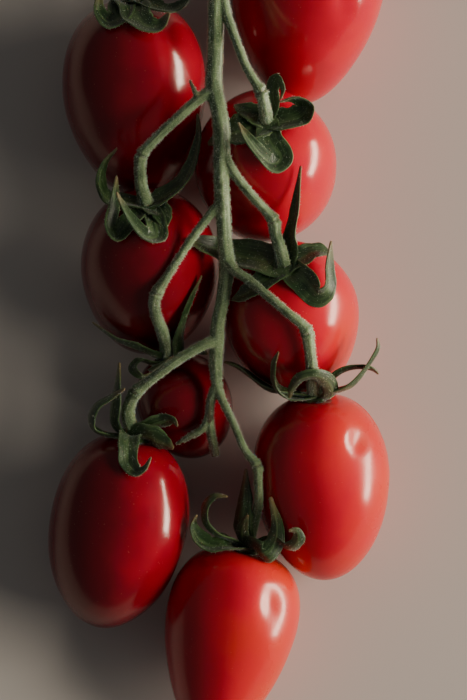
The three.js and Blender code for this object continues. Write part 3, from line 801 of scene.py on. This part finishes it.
# %% Sepal routes
# For each fruit: each sepal's widest width and the points from near the calyx out to its tip, mm.
SEPALS = [
    [
        [6.5, (-24, 70.5, 30), (-25, 67.25, 33.5), (-27.75, 66.25, 34), (-30.25, 69.5, 33.5),
         (-29.5, 74.5, 34)],
        [7.5, (-21.75, 70.5, 31), (-20.5, 67, 35), (-17.5, 65, 36.8), (-14.5, 65.5, 36.5),
         (-12.5, 68.5, 36.5)],
        [5.5, (-19, 71.5, 29.5), (-15, 69.5, 32.5), (-11, 69.5, 32.5), (-8, 72, 32.5),
         (-8.5, 76, 33)],
        [4, (-25, 74, 27.5), (-28.5, 77, 29), (-31, 80.5, 31.5)],
        [4, (-19, 74, 27), (-14.5, 77, 29), (-11, 80.5, 31.5)],
    ],
    [
        [5, (20.5, 94, 29), (17.5, 91.5, 34), (13.5, 89, 36.3), (10.5, 90, 37.5)],
        [5.5, (23.5, 93.5, 31.5), (24, 89.5, 37), (23.5, 84.5, 40.3), (21, 80.5, 42.5)],
        [5, (26, 94, 29), (29.5, 91.5, 32.5), (33.5, 89.5, 33.5), (36.5, 91, 34.5)],
        [4, (27, 97, 27), (30.5, 100.5, 29), (29.5, 104.5, 32)],
        [4, (19.5, 96.5, 23.5), (15.5, 99, 21.5)],
    ],
    [
        [6.5, (16.5, 41.5, 39.4), (20.5, 43, 38.5), (21.75, 45.5, 39), (18.5, 47.25, 41),
         (14.75, 46.25, 42)],
        [3.5, (13.25, 45.5, 39.5), (13.25, 50, 41.5), (14.5, 52, 43), (15.75, 49.5, 44),
         (15, 46.75, 44.5)],
        [6, (12.4, 36.5, 42.3), (15, 32.25, 43.2), (13, 30.75, 44.5), (9.5, 33.5, 46),
         (6.5, 37.5, 46.2), (4.5, 41, 45)],
        [9, (6.5, 39.5, 40), (2, 38, 39), (-3, 36, 36.5)],
        [6, (7.5, 43.5, 38.7), (3.5, 45.5, 37.5)],
    ],
    [
        [5.5, (-14.5, 22.5, 34), (-9.5, 26, 34.5), (-6.5, 31.5, 35.5), (-5, 38, 36.3),
         (-5.5, 43.5, 36.5)],
        [5, (-23, 21.5, 34), (-28, 22.5, 33.5), (-30, 26, 34), (-29, 31, 35), (-25.5, 35, 35)],
        [5, (-22, 17, 38.2), (-25.5, 13.5, 38.7), (-27.5, 15.5, 39.5), (-26.5, 20.5, 39),
         (-26, 24.5, 38.5), (-25.5, 28, 38.5)],
        [5, (-16, 16.5, 38.9), (-15.5, 13, 40.7), (-18, 12.75, 42.3), (-21.5, 16.5, 42),
         (-24, 20.5, 41.5), (-25.5, 24, 42)],
        [6, (-14.5, 18.5, 37.5), (-13.5, 15, 39.3)],
    ],
    [
        [5.5, (17.75, 9.5, 36.5), (18, 13.5, 37.5), (19, 20.5, 39.5), (20, 30.5, 41.5)],
        [6, (20.5, 8, 37), (24.5, 9.5, 36), (28, 8.5, 35)],
        [6.5, (20.5, 2.5, 40.7), (24.25, -1.25, 41.2), (26.5, 0, 41.5), (26.75, 5.5, 40.5),
         (27.5, 12, 39.5)],
        [9, (10.5, 7, 36.5), (6, 8, 34.5), (0, 9.5, 33), (-4.5, 11, 35), (-8.5, 12.25, 37.3)],
        [6, (11, 2, 39.4), (6.5, -1, 37.8), (3, -2.5, 34.5)],
    ],
    [
        [5, (-9.75, -16.5, 22.5), (-9.75, -12, 27), (-8.5, -7, 31), (-6.5, -1.5, 33),
         (-4.5, 3.5, 34.5)],
        [4.5, (-16.5, -16.5, 23.5), (-21, -14.5, 26), (-26, -12.5, 25.5), (-32, -8, 23.5)],
        [3.5, (-17, -18.5, 23.5), (-20, -17.75, 26), (-21.5, -19.5, 27), (-19.5, -21.5, 26.5),
         (-17, -20.75, 26)],
        [3.5, (-8, -16, 24), (-5, -15.5, 26), (-3, -16, 27)],
        [3, (-14, -18.5, 24.5), (-16.5, -20, 28), (-14.5, -18.5, 29.5), (-11.5, -16.5, 29.5)],
    ],
    [
        [5.5, (19, -27, 25), (15.25, -26, 27), (13, -22.75, 31), (13, -18.5, 35),
         (14.5, -15.5, 38)],
        [6, (17.5, -25.75, 23.5), (12.5, -25.25, 25.5), (7.5, -21.75, 25.5), (3.5, -19, 26),
         (1, -18, 26)],
        [4, (27.5, -26.75, 26.5), (27.25, -23.5, 31.5), (23.5, -21.25, 36.5), (20, -22, 36),
         (18, -24.5, 31.5), (17.25, -27, 28.5)],
        [4.5, (28.5, -25.75, 26.5), (33, -24, 28), (37, -19, 29.5), (39.5, -14.5, 31),
         (39, -12, 32)],
        [4, (27.5, -22.75, 26.5), (31, -20.25, 27.5), (35, -19.5, 27), (38, -20, 27),
         (39.5, -21, 26)],
    ],
    [
        [5.5, (-26, -35, 24.5), (-27, -32, 26.5), (-26.5, -28, 28.5), (-25.75, -23.5, 30),
         (-25, -18, 30.5)],
        [4, (-28, -36.5, 25.5), (-31.5, -35, 26.5), (-32.5, -32.5, 28), (-31, -29, 29.5),
         (-27, -26.5, 31), (-23.5, -24.5, 33)],
        [5, (-22.5, -36.5, 27), (-23, -39.5, 31.5), (-22.75, -43.25, 33.8), (-20.5, -45.5, 35.2),
         (-18.5, -44.5, 36.2), (-17, -41.5, 36.5)],
        [6.5, (-18.5, -36.5, 26), (-14.5, -38, 27), (-11.5, -39.5, 27.5)],
        [4.5, (-18.5, -34.5, 25), (-14.5, -33, 26.5), (-12, -32.5, 28), (-10.5, -34, 28.5)],
    ],
    [
        [5.5, (1.5, -64, 24.5), (-2.5, -64, 25), (-5.5, -61.75, 25.5), (-7, -58.5, 26.5),
         (-5.75, -56, 28)],
        [4, (2, -62.25, 22), (-1.5, -61, 24), (-4, -58, 26), (-4, -54, 27.5),
         (-1.5, -51.25, 28.5), (2, -51.5, 29)],
        [5.5, (5.25, -59.5, 23), (6, -52.5, 25.5), (6.5, -44.5, 27.5)],
        [3, (5.5, -60.5, 24.5), (6, -58, 27.5), (7, -56, 29)],
        [6, (8, -64, 23.5), (11, -66, 27), (13.5, -63.5, 27), (14.25, -59, 28.5),
         (12.5, -51.5, 30.2)],
        [4.5, (11, -63.25, 22), (14.5, -63, 25.5), (17, -64.5, 28), (19.5, -62.5, 30.5),
         (19, -60, 32), (17, -59.75, 32.5)],
    ],
]
print("sepals to grow:", [len(sepals) for sepals in SEPALS])

# %% [markdown]
# A real sepal isn't flat: it is cupped, its rim is slightly ragged, and as it dries it waves and
# twists. A cloth simulation could curl it, but not the way that each one curls on this truss. So
# each row of the grid is put on the route, widened by a profile, and then cupped, waved and
# turned. Every point also gets marks for the midrib, the rim and the dry tip.

# %% Bend a blade along its route
# Heights, thicknesses and half widths in mm. The other numbers are shares of a blade.
BLADE_COLUMNS, BLADE_ROWS = 8, 34
BLADE_PROFILE = [0.95, 1.1, 1.05, 0.95, 0.76, 0.48, 0.1]  # shares of the width, root to tip
BLADE_CUP, BLADE_THICKNESS = 0.36, 0.45
MIDRIB_HEIGHT, MIDRIB_HALF_WIDTH, MIDRIB_MARK_HALF_WIDTH = 0.22, 0.28, 0.25
EDGE_WAVE, EDGE_NOTCHES, EDGE_RIPPLES = 0.16, 9, 17
RIM_WIDTH, TIP_LENGTH = 0.2, 0.2
# The rims are painted paler: partly their own paler colour, partly a painted highlight where light
# catches the edges.
MIDRIB_SHADE, RIM_SHADE = 0.6, 0.4
TIP_DRYNESS, TIP_FADE = 0.9, 1.5
VEIN_SHIFT = 1.7  # sets the veins of each blade apart
CALYX_RADIUS, CALYX_THICKNESS = 3.6, 2.4

# Sepals that have twisted about their own length: fruit, sepal and degrees.
SEPAL_TURNS = {
    (5, 1): -35, (5, 3): 75, (7, 1): -35, (8, 4): -65, (8, 5): -40,
    (9, 1): -45, (9, 5): -75, (9, 6): -30,
}


def turned(frame_at_row, degrees):
    """A row's centre, and its sides turned about the way the blade runs."""
    centre, along, across, normal = frame_at_row
    turn = Matrix.Rotation(math.radians(degrees), 3, along)
    return centre, turn @ across, turn @ normal


def bent_blade(fruit, width, points, seed, degrees):
    """A thin grid, bent along its route, cupped, waved at its edges and then made solid."""
    root = dimple_point(fruit, CALYX_THICKNESS / 3)
    route = [point * MM for point in (root, *map(Vector, points))]
    start_clean()
    bpy.ops.mesh.primitive_grid_add(x_subdivisions=BLADE_COLUMNS, y_subdivisions=BLADE_ROWS, size=2)
    blade = bpy.context.object
    rows = travelling_frames(route, BLADE_ROWS, fruit_axis(fruit))
    marks = {"rib": [], "dry": [], "across": [], "along": [], "blade": []}
    for vertex in blade.data.vertices:
        side, share = vertex.co.x, (vertex.co.y + 1) / 2
        row = rows[round(share * BLADE_ROWS)]
        centre, across, normal = turned(row, degrees * min(1, 2 * share))
        ragged = 1 + EDGE_WAVE * noise.noise(Vector((share * EDGE_NOTCHES, seed, side)))
        half_width = width / 2 * between(BLADE_PROFILE, share) * ragged
        ripple = math.sin(share * EDGE_RIPPLES + seed + 2 * side)
        lift = BLADE_CUP * half_width * side * side
        lift += 0.5 * EDGE_WAVE * half_width * abs(side) * ripple
        from_midrib = side * half_width
        lift -= MIDRIB_HEIGHT * math.exp(-((from_midrib / MIDRIB_HALF_WIDTH) ** 2)) * (1 - share)
        vertex.co = centre + across * side * half_width * MM + normal * lift * MM
        midrib = math.exp(-((from_midrib / MIDRIB_MARK_HALF_WIDTH) ** 2))
        rim = max(0, (abs(side) - (1 - RIM_WIDTH)) / RIM_WIDTH)
        tip = max(0, (share - (1 - TIP_LENGTH)) / TIP_LENGTH)
        # A pale rim is partly the sepal's own colour and partly a painted highlight.
        marks["rib"].append(min(1, MIDRIB_SHADE * midrib + RIM_SHADE * rim))
        marks["dry"].append(tip ** TIP_FADE * TIP_DRYNESS)
        marks["across"].append(side)
        marks["along"].append(share)
        marks["blade"].append(seed * VEIN_SHIFT)
    write_marks(blade, marks)
    apply_modifier(blade, "SOLIDIFY", thickness=BLADE_THICKNESS * MM, offset=0)
    return blade


# %% [markdown]
# The sepals grow from a small thick disc that sits in the dimple, under the end of the stalk. A
# squashed ball with a slightly starry rim makes it, and hides the roots of the blades.

# %% Make the disc that a calyx grows from
STAR_POINTS, STAR_DEPTH = 5, 0.16
DISC_SEAM = 1e-7
DISC_MARKS = {"rib": 0.15, "dry": 0, "across": 0, "along": 0, "blade": 0}


def calyx_disc(fruit):
    """A low knob with a slightly starry rim, set in the fruit's dimple."""
    start_clean()
    bpy.ops.mesh.primitive_uv_sphere_add(segments=30, ring_count=14, radius=1)
    disc = bpy.context.object
    turn = fruit_turn(fruit)
    centre = dimple_point(fruit, CALYX_THICKNESS / 2)
    for vertex in disc.data.vertices:
        around = math.atan2(vertex.co.y, vertex.co.x)
        star = 1 + STAR_DEPTH * math.cos(STAR_POINTS * around + fruit["x"])
        local = Vector((vertex.co.x * CALYX_RADIUS * star, vertex.co.z * CALYX_THICKNESS / 2,
                        vertex.co.y * CALYX_RADIUS * star))
        vertex.co = (centre + turn @ local) * MM
    bpy.ops.object.mode_set(mode="EDIT")
    close_seams(DISC_SEAM)
    count = len(disc.data.vertices)
    write_marks(disc, {name: [value] * count for name, value in DISC_MARKS.items()})
    return disc


# %% [markdown]
# A sepal rests on a fruit and never goes through its skin. A shrinkwrap would pull whole blades
# onto the fruits and flatten their curls, so we move only the points that lie inside a fruit, or
# nearer to it than a small clearance.

# %% Lay the blades on the fruits
SKIN_CLEARANCE, SKIN_REACH = 0.12 * MM, 4 * MM


def skin_surface(fruit):
    corners = [vertex.co for vertex in fruit.data.vertices]
    return BVHTree.FromPolygons(corners, [polygon.vertices for polygon in fruit.data.polygons])


SURFACES = [skin_surface(fruit) for fruit in fruits]
print("skins to lay blades on:", len(SURFACES))


def lay_on_fruits(piece):
    """Lifts the points that lie in a fruit just off its skin, and counts them."""
    moved = 0
    for vertex in piece.data.vertices:
        for surface in SURFACES:
            place, outward, _, _ = surface.find_nearest(vertex.co, SKIN_REACH)
            if place is None:
                continue
            height = (vertex.co - place).dot(outward)
            if height < SKIN_CLEARANCE:
                vertex.co = place + outward * SKIN_CLEARANCE
                moved += 1
    return moved


# %% Grow the nine calyxes
def grow_calyx(number, fruit, sepals):
    blades = [
        bent_blade(fruit, width, points, 3 * number + i, SEPAL_TURNS.get((number, i + 1), 0))
        for i, (width, *points) in enumerate(sepals)
    ]
    calyx = join_pieces([calyx_disc(fruit), *blades], f"sepals_{number}")
    apply_modifier(calyx, "SUBSURF", levels=1, render_levels=1)
    moved = lay_on_fruits(calyx)
    hand_over(calyx, SEPAL_SKIN, f"calyx_{number}")
    print(calyx.name, "blades", len(blades), "points laid on skin", moved)
    return calyx


calyxes = [
    grow_calyx(number, fruit, sepals)
    for number, (fruit, sepals) in enumerate(zip(FRUITS, SEPALS), 1)
]

# %% [markdown]
# ## Down
# Tomato stems and sepals are covered with fine white hairs, which show as a soft edge against the
# dark. A particle system would do, but real little cones export as they are. Each hair is three
# faces and a base, set at a random point of the green skin with a seeded draw.

# %% Hair on the green parts
HAIR_DULL, HAIR_WHITE, HAIR_SCALE = (0.6, 0.66, 0.48), (0.82, 0.86, 0.74), 700
HAIR_BASE, HAIR_SUNK = 0.05, 0.05  # how thick and how deep its root is, in mm
HAIR_LEAN = 0.28  # how far hairs stray from standing straight up
LEAST_WEIGHT = 0.05  # keeps a root off the rim of its face


def make_hair_material():
    material, tree, shader = start_material("plant_hair")
    place = add_node(tree, "ShaderNodeTexCoord").outputs["Object"]
    colour = add_mix(tree, add_noise(tree, place, HAIR_SCALE), HAIR_DULL, HAIR_WHITE)
    tree.links.new(colour, shader.inputs["Base Color"])
    set_sockets(shader, {"Roughness": 0.5, "Subsurface Weight": 0.3, "Subsurface Scale": 0.0005})
    return material


HAIR = make_hair_material()


def grow_hair(name, skins, count, shortest, longest, seed):
    """Little cones at random points of the skins, where a larger face draws more of them."""
    draw = random.Random(seed)
    faces = [(skin, polygon) for skin in skins for polygon in skin.data.polygons]
    chosen = draw.choices(faces, weights=[polygon.area for _, polygon in faces], k=count)
    points, triangles = [], []
    for skin, polygon in chosen:
        corners = [skin.data.vertices[i].co for i in polygon.vertices]
        weights = [draw.random() + LEAST_WEIGHT for _ in corners]
        weighted = [corner * weight for corner, weight in zip(corners, weights)]
        root = sum(weighted, Vector()) / sum(weights)
        lean = Vector([draw.gauss(0, HAIR_LEAN) for _ in range(3)])
        outward = (polygon.normal + lean).normalized()
        side = outward.orthogonal().normalized()
        length = draw.uniform(shortest, longest) * MM
        base = len(points)
        for third in range(3):
            spread = Matrix.Rotation(third * math.tau / 3, 3, outward) @ side * HAIR_BASE * MM
            points.append(root - outward * HAIR_SUNK * MM + spread)
        points.append(root + outward * length)
        triangles += [(base, base + 1, base + 3), (base + 1, base + 2, base + 3),
                      (base + 2, base, base + 3), (base + 2, base + 1, base)]
    mesh = bpy.data.meshes.new(name)
    mesh.from_pydata(points, [], triangles)
    hair = bpy.data.objects.new(name, mesh)
    bpy.context.collection.objects.link(hair)
    hand_over(hair, HAIR)
    print(name, count)


# Name, skins, count, shortest and longest in mm, and seed.
grow_hair("stem_hair", [stem], 32000, 0.2, 0.6, 11)
grow_hair("sepal_hair", calyxes, 12000, 0.18, 0.5, 12)
